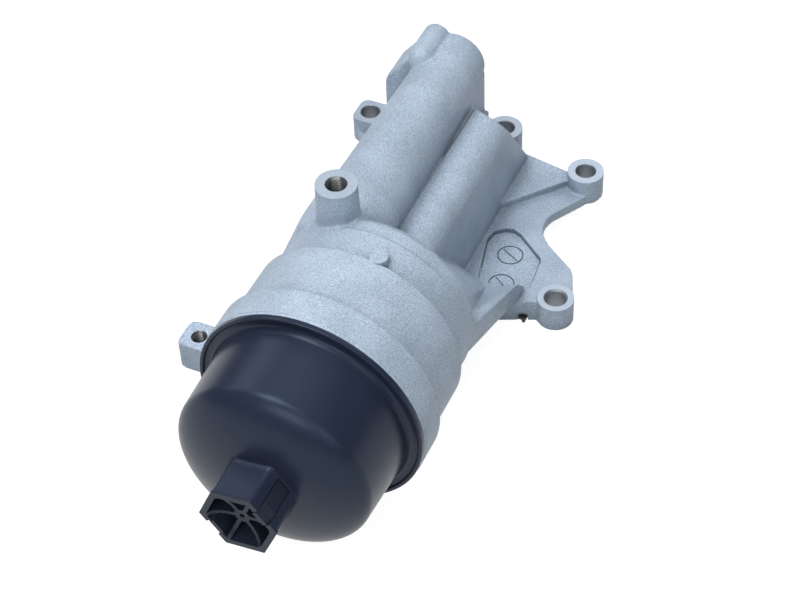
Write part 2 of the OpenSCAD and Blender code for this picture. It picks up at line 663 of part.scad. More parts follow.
module filter_cap() color([0.12, 0.14, 0.17]) on_axis() difference() {
    union() {
        filter_cap_shell();
        // Ring inside the dome that the cartridge's clips hold on to
        translate([0, 0, cartridge_top + gap]) difference() {
            ring(clip_r + 2.8, clip_r + gap, cap_inner_pole - cartridge_top + 0.4);
            translate([0, 0, 1.5]) cylinder(r = clip_r + 1.3, h = 2);
        }
        rotate(hex_turn) translate([0, 0, hex_z0]) cylinder(r = hex_r, h = tube_end - hex_z0, $fn = 6);
        translate([0, 0, hex_z0]) cylinder(r1 = hex_r + 2.4, r2 = hex_r - 1, h = 6.2);
    }
    rotate(hex_turn) translate([0, 0, hex_floor]) cylinder(r = hex_hole_r, h = 30, $fn = 6);
    at_slots() translate([spoke_r * cos(30) - gap, -hex_slot_w / 2, hex_slot_z])
        cube([hex_af, hex_slot_w, 30]);
}

module cap_o_ring() color([0.04, 0.04, 0.04]) on_axis()
    rotate_extrude() translate([seal_bore_r - 3 + fit_gap + o_ring_wire, o_ring_z])
        circle(o_ring_wire, $fn = 24);

// Spoked insert that fills the hexagon: fins with a dished front, a plate over the tube's end and
// two snap tongues in the tube's slots
insert_z0 = hex_floor + fit_gap;
spoke_w = 1.5;
hub_r = 3;
dish_r = spoke_r - 0.9;
tongue_w = hex_slot_w - 0.8;
tongue_r = hex_af / 2 - 0.25;
hook_len = 5;

module insert_fins() difference() {
    translate([0, 0, insert_z0]) linear_extrude(hex_z1 - insert_z0) {
        circle(hub_r);
        intersection() {
            for (a = [0 : 60 : 300]) rotate(a) translate([0, -spoke_w / 2]) square([hex_r, spoke_w]);
            circle(r = spoke_r, $fn = 6);
        }
    }
    translate([0, 0, hex_z1]) rotate_extrude() polygon([
        [0, over], [0, -dish_depth], [0.48 * dish_r, -0.94 * dish_depth],
        [0.72 * dish_r, -0.74 * dish_depth], [0.9 * dish_r, -0.42 * dish_depth], [dish_r, 0],
        [dish_r, over]]);
    translate([0, 0, insert_z0 + 3]) cylinder(r = 1, h = hex_z1);
}

module end_plate() translate([0, 0, tube_end + fit_gap]) linear_extrude(end_plate_t - fit_gap)
    difference() {
        circle(r = hex_r, $fn = 6);
        circle(r = spoke_r - 0.4, $fn = 6);
        for (s = [0, 1]) rotate(30 + 180 * s) translate([0, -hex_slot_w / 2]) square([hex_af, hex_slot_w]);
    }

// Tongue beside the tube's wall, thicker in the slot, with a hook that slopes to the end
module snap_tongue() translate([0, tongue_w / 2, 0]) rotate([90, 0, 0]) linear_extrude(tongue_w)
    let (r = spoke_r * cos(30)) polygon([
        [r - 1.2, insert_z0], [r, insert_z0], [r, hex_slot_z + 0.3], [tongue_r, hex_slot_z + 0.3],
        [tongue_r, hex_z1 - hook_len - 0.4], [tongue_r + 0.7, hex_z1 - hook_len],
        [tongue_r + 0.7, hex_z1 - hook_len + 0.5], [tongue_r - 1, hex_z1], [r - 1.2, hex_z1]]);

module hex_insert() color([0.10, 0.12, 0.14]) on_axis() {
    rotate(hex_turn) {
        insert_fins();
        translate([0, 0, insert_z0]) cylinder(r = spoke_r, h = 2, $fn = 6);
        end_plate();
    }
    at_slots() snap_tongue();
}

housing_casting();
flange_gasket();
core_plug();
standpipe();
standpipe_seal();
anti_drain_flap();
bypass_seat();
bypass_spring_seat();
bypass_spring();
bypass_valve();
filter_pleats();
filter_core();
filter_inner_disc();
filter_outer_disc();
filter_inner_seal();
filter_outer_seal();
drain_pin_seal();
filter_cap();
cap_o_ring();
hex_insert();
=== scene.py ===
"""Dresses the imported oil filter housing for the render: a sandy cast body with machined faces and
cut threads, a satin screw cap, and the studio it stands in. The sizes of the pieces are in
millimetres, which MM turns into metres. Camera, floor, lamps and the depth of the grain are in metres."""
import math
import bmesh
import bpy
from mathutils import Matrix, Vector


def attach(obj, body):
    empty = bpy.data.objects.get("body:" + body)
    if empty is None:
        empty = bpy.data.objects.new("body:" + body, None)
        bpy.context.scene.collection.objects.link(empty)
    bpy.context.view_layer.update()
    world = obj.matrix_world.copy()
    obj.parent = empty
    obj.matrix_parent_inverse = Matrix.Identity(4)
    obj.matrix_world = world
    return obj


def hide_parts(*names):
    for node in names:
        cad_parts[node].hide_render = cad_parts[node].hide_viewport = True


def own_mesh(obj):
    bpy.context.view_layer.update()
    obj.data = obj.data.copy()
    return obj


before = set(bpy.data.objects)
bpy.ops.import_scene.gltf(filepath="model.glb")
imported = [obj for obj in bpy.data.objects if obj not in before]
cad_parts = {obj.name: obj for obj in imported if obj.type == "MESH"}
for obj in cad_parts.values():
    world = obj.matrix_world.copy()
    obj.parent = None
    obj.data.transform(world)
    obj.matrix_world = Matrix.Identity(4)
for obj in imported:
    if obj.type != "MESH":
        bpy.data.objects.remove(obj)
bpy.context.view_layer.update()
MM = 0.001
scene = bpy.context.scene

# Camera.
# Position and turn come from fitting the bowl's rims, the hexagon and the lugs in the photograph.
# Right and up are turned by the small roll of the hand-held view.
camera_data = bpy.data.cameras.new("camera")
SENSOR_W, FOCAL_PX, PHOTO_W = 36, 1982.918, 800
camera_data.sensor_width = SENSOR_W
camera_data.lens = SENSOR_W * FOCAL_PX / PHOTO_W
camera_data.clip_start = 0.01
camera = bpy.data.objects.new("camera", camera_data)
scene.collection.objects.link(camera)
view_down, view_side, view_roll = (math.radians(a) for a in (46.188, 26.336, -2.626))
forward = Vector((-math.sin(view_side) * math.cos(view_down),
                  math.cos(view_side) * math.cos(view_down), -math.sin(view_down)))
level_right = Vector((math.cos(view_side), math.sin(view_side), 0))
level_up = level_right.cross(forward)
right = level_right * math.cos(view_roll) + level_up * math.sin(view_roll)
up = level_up * math.cos(view_roll) - level_right * math.sin(view_roll)
camera.matrix_world = Matrix((right, up, -forward)).transposed().to_4x4()
camera.location = (0.24026, -0.54804, 0.59249)
scene.camera = camera

# Studio.
# A floor that reads as white to camera, glossy and transmission rays, and throws little light back up.
# Wide soft lamps stand overhead and behind, and small weak ones close by, so the bowl is lit the most.
world = bpy.data.worlds.new("surrounding")
world.use_nodes = True
world.node_tree.nodes["Background"].inputs["Color"].default_value = (0.78, 0.87, 1.0, 1)
world.node_tree.nodes["Background"].inputs["Strength"].default_value = 0.05
scene.world = world
scene.view_settings.view_transform = "Standard"
scene.view_settings.look = "None"

floor_mesh = bpy.data.meshes.new("floor")
floor_mesh.from_pydata([(-6, -6, 0), (6, -6, 0), (6, 6, 0), (-6, 6, 0)], [], [(0, 1, 2, 3)])
floor = bpy.data.objects.new("floor", floor_mesh)
scene.collection.objects.link(floor)
floor.location.z = -0.0002
floor_mat = bpy.data.materials.new("floor_white")
floor_mat.use_nodes = True
floor_nodes, floor_links = floor_mat.node_tree.nodes, floor_mat.node_tree.links
floor_bsdf = floor_nodes["Principled BSDF"]
floor_bsdf.inputs["Base Color"].default_value = (0.25, 0.25, 0.25, 1)
floor_bsdf.inputs["Roughness"].default_value = 0.9
floor_bsdf.inputs["Specular IOR Level"].default_value = 0.0
floor_glow = floor_nodes.new("ShaderNodeEmission")
floor_glow.inputs["Color"].default_value = (1, 1, 1, 1)
floor_glow.inputs["Strength"].default_value = 0.92
floor_dull = floor_nodes.new("ShaderNodeBsdfDiffuse")
floor_dull.inputs["Color"].default_value = (0.32, 0.32, 0.32, 1)
floor_add = floor_nodes.new("ShaderNodeAddShader")
floor_path = floor_nodes.new("ShaderNodeLightPath")
floor_seen = floor_nodes.new("ShaderNodeMath")
floor_seen.operation = "ADD"
floor_shown = floor_nodes.new("ShaderNodeMath")
floor_shown.operation = "ADD"
floor_shown.use_clamp = True
floor_mix = floor_nodes.new("ShaderNodeMixShader")
floor_links.new(floor_bsdf.outputs[0], floor_add.inputs[0])
floor_links.new(floor_glow.outputs[0], floor_add.inputs[1])
floor_links.new(floor_path.outputs["Is Camera Ray"], floor_seen.inputs[0])
floor_links.new(floor_path.outputs["Is Glossy Ray"], floor_seen.inputs[1])
floor_links.new(floor_seen.outputs[0], floor_shown.inputs[0])
floor_links.new(floor_path.outputs["Is Transmission Ray"], floor_shown.inputs[1])
floor_links.new(floor_shown.outputs[0], floor_mix.inputs[0])
floor_links.new(floor_dull.outputs[0], floor_mix.inputs[1])
floor_links.new(floor_add.outputs[0], floor_mix.inputs[2])
floor_links.new(floor_mix.outputs[0], floor_nodes["Material Output"].inputs["Surface"])
floor_mesh.materials.append(floor_mat)

TARGET = Vector((0, -0.06, 0.045))
for name, place, size, power in (
        ("overhead", (0, -0.1, 1.2), (1.0, 1.0), 3.9),
        ("back", (0.1, 1.0, 0.9), (1.2, 0.6), 4.5),
        ("near_top", (-0.13, -0.16, 0.67), (0.3, 0.3), 2.0),
        ("left", (-0.5, 0.1, 0.5), (0.4, 0.3), 0.65),
        ("front", (0.05, -0.6, 0.45), (0.4, 0.3), 1.5),
        ("right", (0.5, -0.45, 0.5), (0.4, 0.4), 0.9)):
    light_data = bpy.data.lights.new(name, "AREA")
    light_data.shape = "RECTANGLE"
    light_data.size, light_data.size_y = size
    light_data.energy = power
    light = bpy.data.objects.new(name, light_data)
    scene.collection.objects.link(light)
    light.location = place
    light.rotation_euler = (TARGET - Vector(place)).to_track_quat("-Z", "Y").to_euler()

# Cast body: shape.
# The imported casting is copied, its machined faces are pushed out and its bores filled, so that the
# remesh rounds only the cast edges. The faces, bores and threads are then cut back crisp.
RIM_Y = -139.3
AXIS_H = 46.0


def on_axis(x, y, z):
    """Point given across the filter axis and along it, out of the bowl from the rim face."""
    return Vector((x, RIM_Y - z, AXIS_H + y)) * MM


def upright(px, py):
    """Placing function for a piece that stands on the point px, py of the plan."""
    return lambda x, y, z: Vector((px + x, py + y, z)) * MM


def along_y(px, pz, y0, rise=0.0):
    """Placing function for a piece that runs along Y from y0, rising by rise per mm."""
    return lambda x, y, z: Vector((px + x, y0 + z, pz + y + rise * z)) * MM


def lathe(profile, place, steps=96, radius=None):
    """Closed solid of revolution. profile holds (radius, height) pairs from bottom to top; radius,
    when given, is a function of (angle, height, profile radius) that varies the skin."""
    mesh = bmesh.new()
    rings = []
    for r, h in profile:
        ring = []
        for k in range(steps):
            a = 2 * math.pi * k / steps
            rr = radius(a, h, r) if radius else r
            ring.append(mesh.verts.new(place(rr * math.cos(a), rr * math.sin(a), h)))
        rings.append(ring)
    for low, high in zip(rings, rings[1:]):
        for k in range(steps):
            n = (k + 1) % steps
            mesh.faces.new((low[k], low[n], high[n], high[k]))
    mesh.faces.new(list(reversed(rings[0])))
    mesh.faces.new(rings[-1])
    bmesh.ops.recalc_face_normals(mesh, faces=mesh.faces)
    return mesh


def prism(points, z0, z1, place):
    """Closed prism over a plan outline."""
    mesh = bmesh.new()
    low = [mesh.verts.new(place(x, y, z0)) for x, y in points]
    high = [mesh.verts.new(place(x, y, z1)) for x, y in points]
    for k in range(len(points)):
        n = (k + 1) % len(points)
        mesh.faces.new((low[k], low[n], high[n], high[k]))
    mesh.faces.new(list(reversed(low)))
    mesh.faces.new(high)
    bmesh.ops.recalc_face_normals(mesh, faces=mesh.faces)
    return mesh


def to_object(mesh, name, materials=()):
    data = bpy.data.meshes.new(name)
    mesh.to_mesh(data)
    mesh.free()
    obj = bpy.data.objects.new(name, data)
    scene.collection.objects.link(obj)
    for m in materials:
        data.materials.append(m)
    return obj


def apply_modifiers(obj):
    """Replaces the object's mesh by its evaluated one, with no modifier left."""
    graph = bpy.context.evaluated_depsgraph_get()
    graph.update()
    data = bpy.data.meshes.new_from_object(obj.evaluated_get(graph), depsgraph=graph)
    obj.modifiers.clear()
    obj.data = data


def add_solid(target, mesh):
    """Appends a closed solid to a mesh that is remeshed later."""
    data = bpy.data.meshes.new("part")
    mesh.to_mesh(data)
    mesh.free()
    target.from_mesh(data)
    bpy.data.meshes.remove(data)


def cut(obj, mesh, material, operation="DIFFERENCE"):
    """Cuts a closed solid out of obj; the cut faces get the material."""
    tool = to_object(mesh, "cutter", [material])
    mod = obj.modifiers.new("cut", "BOOLEAN")
    mod.operation = operation
    mod.object = tool
    mod.solver = "MANIFOLD"
    mod.material_mode = "TRANSFER"
    apply_modifiers(obj)
    bpy.data.objects.remove(tool)


# Bolt lugs: the place of each hole, and the height of the face around it
LUGS = {"right": (37.3, 46, 17.9), "back": (-5.2, 58.8, 17.9), "left": (-64.1, 46, 17.9),
        "low": (50.6, -22.8, 11.3)}
BOLT_R = 4.2
BOSS = (-16.5, -77.8)
BOSS_TOP = 97.5
SIDE_LUG = (-54.3, -124.8)
INLET_X, INLET_RISE = -20.4, (64.6 - 61.0) / 125
# How far each machined face is pushed out before the remesh. At the foot this also carries the edge
# of the face out by up to 3.7 mm towards the bowl, which the solid doesn't have.
FACE_PUSH, BOSS_PUSH, LUG_PUSH = 2.2, 2, 1.6

body = bmesh.new()
body.from_mesh(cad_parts["housing_casting"].data)
bmesh.ops.remove_doubles(body, verts=body.verts, dist=1e-6)
for v in body.verts:
    x, y, z = (c / MM for c in v.co)
    if z < 0.02:
        v.co.z = -FACE_PUSH * MM
    elif abs(y - RIM_Y) < 0.02:
        v.co.y = (RIM_Y - FACE_PUSH) * MM
    elif abs(z - BOSS_TOP) < 0.02:
        v.co.z = (BOSS_TOP + BOSS_PUSH) * MM
    else:
        for lx, ly, top in LUGS.values():
            if abs(z - top) < 0.02 and math.hypot(x - lx, y - ly) < 14:
                v.co.z = (top + LUG_PUSH) * MM
add_solid(body, lathe([(32, -64.5), (34.6, -63.2), (37.2, -59.6), (37.8, -57), (37.8, -26), (40.2, -23),
                       (40.2, -10), (42.2, -7), (43.5, -2), (44.6, 2.2)], on_axis))
for lx, ly, top in LUGS.values():
    fill_from = 5.6 if top > 12 else -FACE_PUSH
    add_solid(body, lathe([(BOLT_R + 0.6, fill_from), (BOLT_R + 0.6, top + LUG_PUSH)],
                          upright(lx, ly), 32))
add_solid(body, lathe([(4.4, BOSS_TOP - 18), (4.4, BOSS_TOP + BOSS_PUSH)], upright(*BOSS), 32))
add_solid(body, lathe([(3.4, AXIS_H - 13), (3.4, AXIS_H)], upright(*SIDE_LUG), 32))
# Fills the slot that the solids have between the crests of the galleries
add_solid(body, prism([(-45, 53), (27, 53.2), (28, 52.6), (34, 43.8), (34, 40), (-45, 40)], -8.3, -5.3,
                      lambda y, z, x: Vector((x, y, z)) * MM))
# Fairing between the bowl's last band and the back of the inlet gallery, left of the boss
FAIRING_BOWL_R, FAIRING_GALLERY_R, FAIRING_FRONT, FAIRING_BACK = 39.6, 17.2, -92, -71
fairing = bmesh.new()
for k in range(17):
    bowl_a, gallery_a = math.radians(118 + 3.25 * k), math.radians(96 + 7 * k)
    fairing.verts.new(Vector((FAIRING_BOWL_R * math.cos(bowl_a), FAIRING_FRONT,
                              AXIS_H + FAIRING_BOWL_R * math.sin(bowl_a))) * MM)
    fairing.verts.new(Vector((INLET_X + FAIRING_GALLERY_R * math.cos(gallery_a), FAIRING_BACK,
                              61.3 + FAIRING_GALLERY_R * math.sin(gallery_a))) * MM)
for y in (FAIRING_FRONT, FAIRING_BACK):
    fairing.verts.new(Vector((-22, y, 46)) * MM)
hull = bmesh.ops.convex_hull(fairing, input=fairing.verts)
bmesh.ops.delete(fairing, geom=[v for v in hull["geom_interior"] if isinstance(v, bmesh.types.BMVert)],
                 context="VERTS")
add_solid(body, fairing)
casting = to_object(body, "cast_housing")
remesh = casting.modifiers.new("remesh", "REMESH")
remesh.mode = "VOXEL"
remesh.voxel_size = 0.5 * MM
remesh.use_smooth_shade = True
soften = casting.modifiers.new("soften", "SMOOTH")
soften.factor = 0.5
soften.iterations = 4
apply_modifiers(casting)
# Wider fillets at the foot of the boss, where the far end block runs into the inlet gallery, and
# under the fairing
END_BLEND, SIDE_BLEND = (-36, 31, 70), (-37.5, -71, 54)
soft = casting.vertex_groups.new(name="soft")
foot = Vector((BOSS[0], BOSS[1], 83)) * MM
for v in casting.data.vertices:
    x, y, z = (c / MM for c in v.co)
    weight = max(0.0, min(1.0, 2.2 - (v.co - foot).length / MM / 8.5))
    for spot in (END_BLEND, SIDE_BLEND):
        weight = max(weight, min(1.0, 1.9 - math.dist((x, y, z), spot) / 11))
    if weight > 0.02:
        soft.add([v.index], weight, "REPLACE")
widen = casting.modifiers.new("widen", "SMOOTH")
widen.factor = 0.5
widen.iterations = 24
widen.vertex_group = "soft"
thin = casting.modifiers.new("thin", "DECIMATE")
thin.ratio = 0.17
apply_modifiers(casting)
casting.vertex_groups.clear()

# Cast body: materials.
# Blasted die-cast skin: fine sandy grain with faint cloudy patches, and painted shade that darkens its
# colour in corners and hollows.
# Machined faces are smoother and brighter.


def new_material(name, colour, metallic, roughness):
    mat = bpy.data.materials.new(name)
    mat.use_nodes = True
    shader = mat.node_tree.nodes["Principled BSDF"]
    shader.inputs["Base Color"].default_value = (*colour, 1)
    shader.inputs["Metallic"].default_value = metallic
    shader.inputs["Roughness"].default_value = roughness
    return mat, mat.node_tree.nodes, mat.node_tree.links, shader


def grain(mat_parts, scale, strength, distance, colour_a, colour_b, cloud_scale, speckle=0.0, rough=None,
          corners=0.0):
    """Sandy bump of the given scale, and a colour that drifts between two tones in soft patches.
    corners says how much painted shade, taken from ambient occlusion, darkens the colour in corners and
    hollows."""
    mat, nodes, links, shader = mat_parts
    coords = nodes.new("ShaderNodeTexCoord")
    fine = nodes.new("ShaderNodeTexNoise")
    fine.inputs["Scale"].default_value = scale
    fine.inputs["Detail"].default_value = 3
    fine.inputs["Roughness"].default_value = 0.6
    bump = nodes.new("ShaderNodeBump")
    bump.inputs["Strength"].default_value = strength
    bump.inputs["Distance"].default_value = distance
    cloud = nodes.new("ShaderNodeTexNoise")
    cloud.inputs["Scale"].default_value = cloud_scale
    cloud.inputs["Detail"].default_value = 4
    tone = nodes.new("ShaderNodeMix")
    tone.data_type = "RGBA"
    tone.inputs[6].default_value = (*colour_a, 1)
    tone.inputs[7].default_value = (*colour_b, 1)
    links.new(coords.outputs["Object"], fine.inputs["Vector"])
    links.new(coords.outputs["Object"], cloud.inputs["Vector"])
    links.new(fine.outputs["Fac"], bump.inputs["Height"])
    links.new(bump.outputs["Normal"], shader.inputs["Normal"])
    blend = nodes.new("ShaderNodeMath")
    blend.operation = "MULTIPLY_ADD"
    blend.inputs[1].default_value = speckle
    links.new(fine.outputs["Fac"], blend.inputs[0])
    links.new(cloud.outputs["Fac"], blend.inputs[2])
    shift = nodes.new("ShaderNodeMath")
    shift.operation = "SUBTRACT"
    shift.inputs[1].default_value = speckle / 2
    shift.use_clamp = True
    links.new(blend.outputs[0], shift.inputs[0])
    links.new(shift.outputs[0], tone.inputs[0])
    # Painted shade: ambient occlusion darkens the base colour in corners and hollows.
    if corners:
        hollow = nodes.new("ShaderNodeAmbientOcclusion")
        hollow.samples = 8
        hollow.inputs["Distance"].default_value = 0.010
        dark = nodes.new("ShaderNodeMapRange")
        dark.inputs["From Min"].default_value = 0.25
        dark.inputs["From Max"].default_value = 0.90
        dark.inputs["To Min"].default_value = 1 - corners
        dark.inputs["To Max"].default_value = 1
        shaded = nodes.new("ShaderNodeVectorMath")
        shaded.operation = "SCALE"
        links.new(hollow.outputs["AO"], dark.inputs["Value"])
        links.new(tone.outputs[2], shaded.inputs[0])
        links.new(dark.outputs[0], shaded.inputs["Scale"])
        links.new(shaded.outputs[0], shader.inputs["Base Color"])
    else:
        links.new(tone.outputs[2], shader.inputs["Base Color"])
    if rough:
        spread = nodes.new("ShaderNodeMapRange")
        spread.inputs["To Min"].default_value = rough[0]
        spread.inputs["To Max"].default_value = rough[1]
        links.new(cloud.outputs["Fac"], spread.inputs["Value"])
        links.new(spread.outputs[0], shader.inputs["Roughness"])
    return mat


CAST_A, CAST_B = (0.29, 0.366, 0.462), (0.565, 0.673, 0.810)
# Its last argument, 0.55, is painted shade: the skin's colour darkens in corners and hollows.
cast_mat = grain(new_material("cast_skin", CAST_A, 0.12, 0.48), 1900, 0.9, 0.0004,
                 CAST_A, CAST_B, 60, 3.2, (0.42, 0.54), 0.55)
cast_mat.node_tree.nodes["Principled BSDF"].inputs["Specular IOR Level"].default_value = 0.3
machined_mat = grain(new_material("machined_face", CAST_B, 0.55, 0.4), 1800, 0.25, 0.0002,
                     (0.42, 0.50, 0.60), (0.56, 0.65, 0.76), 90, 1.6)
# Bores are coloured darker than the machined faces as painted shade for the dim inside of the holes.
bore_mat = grain(new_material("drilled_bore", CAST_A, 0.7, 0.45), 1800, 0.2, 0.0002,
                 (0.24, 0.26, 0.29), (0.40, 0.43, 0.47), 90, 1.2)
# Threads are coloured darker than the machined faces, and the last argument adds more painted shade in the
# grooves; both stand in for the dim inside of the hole.
thread_mat = grain(new_material("cut_thread", CAST_B, 0.9, 0.38), 2000, 0.06, 0.0001,
                   (0.24, 0.245, 0.255), (0.42, 0.425, 0.44), 90, 1.0, None, 0.6)
casting.data.materials.clear()
casting.data.materials.append(cast_mat)

# Cast body: machining.
# Faces first, then the bowl with its seal bore and coarse thread, the bolt holes, both small
# threads, the oil passages, and the fine lines at the foot of the bands, the panel and its dials.


def block(x0, x1, y0, y1, z0, z1):
    return prism([(x0, y0), (x1, y0), (x1, y1), (x0, y1)], z0, z1, upright(0, 0))


def thread(pitch, core, major):
    """Radius of a helical groove with straight flanks, by angle and height."""
    def radius(a, h):
        t = (h / pitch - a / (2 * math.pi)) % 1
        wave = 1 - abs(2 * t - 1)
        return core + (major - core) * max(0.0, min(1.0, 1.15 * wave - 0.08))
    return radius


def groove(r0, r1, h0, h1, a0, a1, place, steps):
    """Ring, or an arc of one from angle a0 to a1 in degrees, that cuts a fine line."""
    mesh = bmesh.new()
    whole = a1 - a0 >= 360
    loops = []
    for k in range(steps if whole else steps + 1):
        a = math.radians(a0 + (a1 - a0) * k / steps)
        loops.append([mesh.verts.new(place(r * math.cos(a), r * math.sin(a), h))
                      for r, h in ((r0, h0), (r1, h0), (r1, h1), (r0, h1))])
    for one, two in zip(loops, loops[1:] + (loops[:1] if whole else [])):
        for k in range(4):
            mesh.faces.new((one[k], two[k], two[(k + 1) % 4], one[(k + 1) % 4]))
    if not whole:
        mesh.faces.new(loops[0])
        mesh.faces.new(loops[-1])
    bmesh.ops.recalc_face_normals(mesh, faces=mesh.faces)
    return mesh


cut(casting, block(-100, 80, -120, 90, -10, 0), machined_mat)
cut(casting, block(-80, 80, -170, RIM_Y, -20, 120), machined_mat)
for lx, ly, top in LUGS.values():
    cut(casting, lathe([(10, top), (10, top + 6)], upright(lx, ly), 48), machined_mat)
cut(casting, lathe([(14, BOSS_TOP), (14, BOSS_TOP + 8)], upright(*BOSS), 48), machined_mat)

# Bands of the bowl and the thick stretch of the inlet gallery, whose ends are crisp in the casting
cut(casting, lathe([(39.65, -53.7), (39.95, -53.4), (39.95, -39.7), (42.4, -39.3), (42.65, -39),
                    (42.65, -14.1), (45, -13.7), (45.25, -13.4), (45.25, -1.3)], on_axis, 192),
    cast_mat, "UNION")
for foot_r, foot_h in ((39.95, -39.7), (42.65, -14.1)):
    cut(casting, groove(foot_r - 0.4, foot_r + 1, foot_h - 0.45, foot_h + 0.02, -12, 160, on_axis, 120),
        cast_mat)
cut(casting, lathe([(16.3, 9.5), (17.1, 13), (16.7, 29.2), (16.45, 29.5)],
                   along_y(INLET_X, 61, -82.3, INLET_RISE), 128), cast_mat, "UNION")
# Thin bead along the outlet gallery's left edge
cut(casting, lathe([(0.5, 0), (0.95, 0.8), (0.95, 91), (0.5, 92)], along_y(-4.9, 53.5, -66), 16),
    cast_mat, "UNION")

THREAD_TOP, THREAD_END = -9.4, -23.4
rows = [THREAD_END + (THREAD_TOP - THREAD_END) * k / 34 for k in range(35)]
bowl_thread = thread(3.0, 38.55, 39.9)


def bowl_skin(a, h, r):
    if THREAD_END < h < THREAD_TOP:
        return bowl_thread(a, h)
    return r


cut(casting, lathe([(33.4, -63), (36.4, -59), (36.4, -24.9), (38.6, THREAD_END - 0.01)]
                   + [(38.6, h) for h in rows[1:-1]]
                   + [(38.6, THREAD_TOP + 0.01), (41, -8), (41, -1.2), (41.9, 0), (41.9, 4)],
                   on_axis, 144, bowl_skin), machined_mat)
for key, (lx, ly, top) in LUGS.items():
    chamfer = 0.75 if key == "low" else 0.3
    cut(casting, lathe([(BOLT_R, -4), (BOLT_R, top - chamfer), (BOLT_R + chamfer, top),
                        (BOLT_R + chamfer, top + 3)], upright(lx, ly), 40), bore_mat)

M8_PITCH, M8_CORE, M8_MAJOR = 1.25, 3.35, 4.0
m8_rows = [BOSS_TOP - 16 + 14.6 * k / 94 for k in range(95)]
m8_profile = ([(0.2, BOSS_TOP - 17.2)] + [(0, h) for h in m8_rows]
              + [(3.5, BOSS_TOP - 1.2), (4.25, BOSS_TOP), (4.25, BOSS_TOP + 3)])
m8_thread = thread(M8_PITCH, M8_CORE, M8_MAJOR)
cut(casting, lathe(m8_profile, upright(*BOSS), 40,
                   lambda a, h, r: r if r else m8_thread(a, h)), thread_mat)
M6_PITCH, M6_CORE, M6_MAJOR = 1.0, 2.5, 3.0
m6_rows = [AXIS_H - 12.2 + 11.4 * k / 90 for k in range(91)]
m6_profile = ([(3.1, AXIS_H - 16), (3.1, AXIS_H - 13)] + [(0, h) for h in m6_rows]
              + [(3.15, AXIS_H), (3.15, AXIS_H + 3)])
m6_thread = thread(M6_PITCH, M6_CORE, M6_MAJOR)
cut(casting, lathe(m6_profile, upright(*SIDE_LUG), 36,
                   lambda a, h, r: r if r else m6_thread(a, h)), thread_mat)

DRILL_FROM = -76.3
cut(casting, lathe([(8.5, -3), (8.5, 122.8)], along_y(INLET_X, 59.0, DRILL_FROM, INLET_RISE), 48),
    cast_mat)
cut(casting, lathe([(5.5, -3), (5.5, 60.3)], along_y(0, 46.0, DRILL_FROM), 40), machined_mat)
cut(casting, lathe([(9.55, -66), (9.55, -60)], on_axis, 48), machined_mat)
cut(casting, lathe([(7, -4), (7, 60)], upright(-25, 21), 40), cast_mat)
cut(casting, lathe([(5.5, -4), (5.5, 46)], upright(0, -16), 40), machined_mat)
cut(casting, lathe([(3.4, -3), (3.4, 64.3)], along_y(-12, 22.0, DRILL_FROM), 32), machined_mat)
cut(casting, lathe([(3.4, -4), (3.4, 22)], upright(-12, -12), 32), machined_mat)

NUB = (9.4, -97.3)
cut(casting, lathe([(3.6, 82.5), (3.6, 87.85), (3.35, 88.1)], upright(*NUB), 56), cast_mat, "UNION")

PANEL_Z = 8.6
PANEL_EDGE = [(15.2, -16.5), (11.6, -1.2), (12.5, 4.2), (16, 7.4), (19.5, 8.3), (23.6, 6.7), (36.1, -3.2),
              (37, -5.1), (38.06, -16)]
PANEL_MID = (26, -9)
foot_line = [(PANEL_MID[0] + (x - PANEL_MID[0]) * k, PANEL_MID[1] + (y - PANEL_MID[1]) * k)
             for k, row in ((1.012, PANEL_EDGE), (0.965, PANEL_EDGE[::-1])) for x, y in row]
cut(casting, prism(foot_line, PANEL_Z - 0.3, PANEL_Z + 1.7, upright(0, 0)), cast_mat)
for (dx, dy), turn in (((23.4, -4.7), -30), ((26.3, -21.5), -38)):
    cut(casting, groove(4.9, 5.5, PANEL_Z - 0.8, PANEL_Z + 1, 0, 360, upright(dx, dy), 64), cast_mat)
    c, s = math.cos(math.radians(turn)), math.sin(math.radians(turn))
    bar = [(dx + c * u - s * w, dy + s * u + c * w)
           for u, w in ((-4.3, -0.35), (4.3, -0.35), (4.3, 0.35), (-4.3, 0.35))]
    cut(casting, prism(bar, PANEL_Z - 0.6, PANEL_Z + 1, upright(0, 0)), cast_mat)

for p in casting.data.polygons:
    p.use_smooth = True
casting.data.set_sharp_from_angle(angle=math.radians(32))
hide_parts("housing_casting")
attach(casting, "housing")
print("casting triangles", sum(len(p.vertices) - 2 for p in casting.data.polygons))

# Cap.
# A satin dark moulding: flange with a shallow ring groove, slightly drafted side, elliptic dome,
# and a hollow hexagon that runs into the dome with a small fillet.
cap_mat = grain(new_material("cap_moulding", (0.03, 0.035, 0.045), 0.0, 0.36), 2200, 0.16, 0.00012,
                (0.016, 0.022, 0.042), (0.025, 0.033, 0.060), 35, 0.5, (0.25, 0.36))
cap_mat.node_tree.nodes["Principled BSDF"].inputs["Specular IOR Level"].default_value = 0.42
cap_mat.node_tree.nodes["Principled BSDF"].inputs["IOR"].default_value = 1.36
cap_mat.node_tree.nodes["Principled BSDF"].inputs["Specular Tint"].default_value = (0.62, 0.80, 1, 1)
CAP_LEN, DOME_H, CAP_END_R = 29.1, 13.3, 38.3


def ellipse(r, h, z, a0, a1, n):
    return [(r * math.cos(math.radians(a0 + (a1 - a0) * k / n)),
             z + h * math.sin(math.radians(a0 + (a1 - a0) * k / n))) for k in range(n + 1)]


def fillet(points, sizes, steps=5):
    """Rounds the corners of an open (radius, height) line; sizes gives each corner's reach."""
    out = [points[0]]
    for k in range(1, len(points) - 1):
        p, a, b, s = Vector(points[k]), Vector(points[k - 1]), Vector(points[k + 1]), sizes[k]
        if not s:
            out.append(points[k])
            continue
        p0, p1 = p + (a - p).normalized() * s, p + (b - p).normalized() * s
        for i in range(steps + 1):
            t = i / steps
            q = p0.lerp(p, t).lerp(p.lerp(p1, t), t)
            out.append((q.x, q.y))
    out.append(points[-1])
    return out


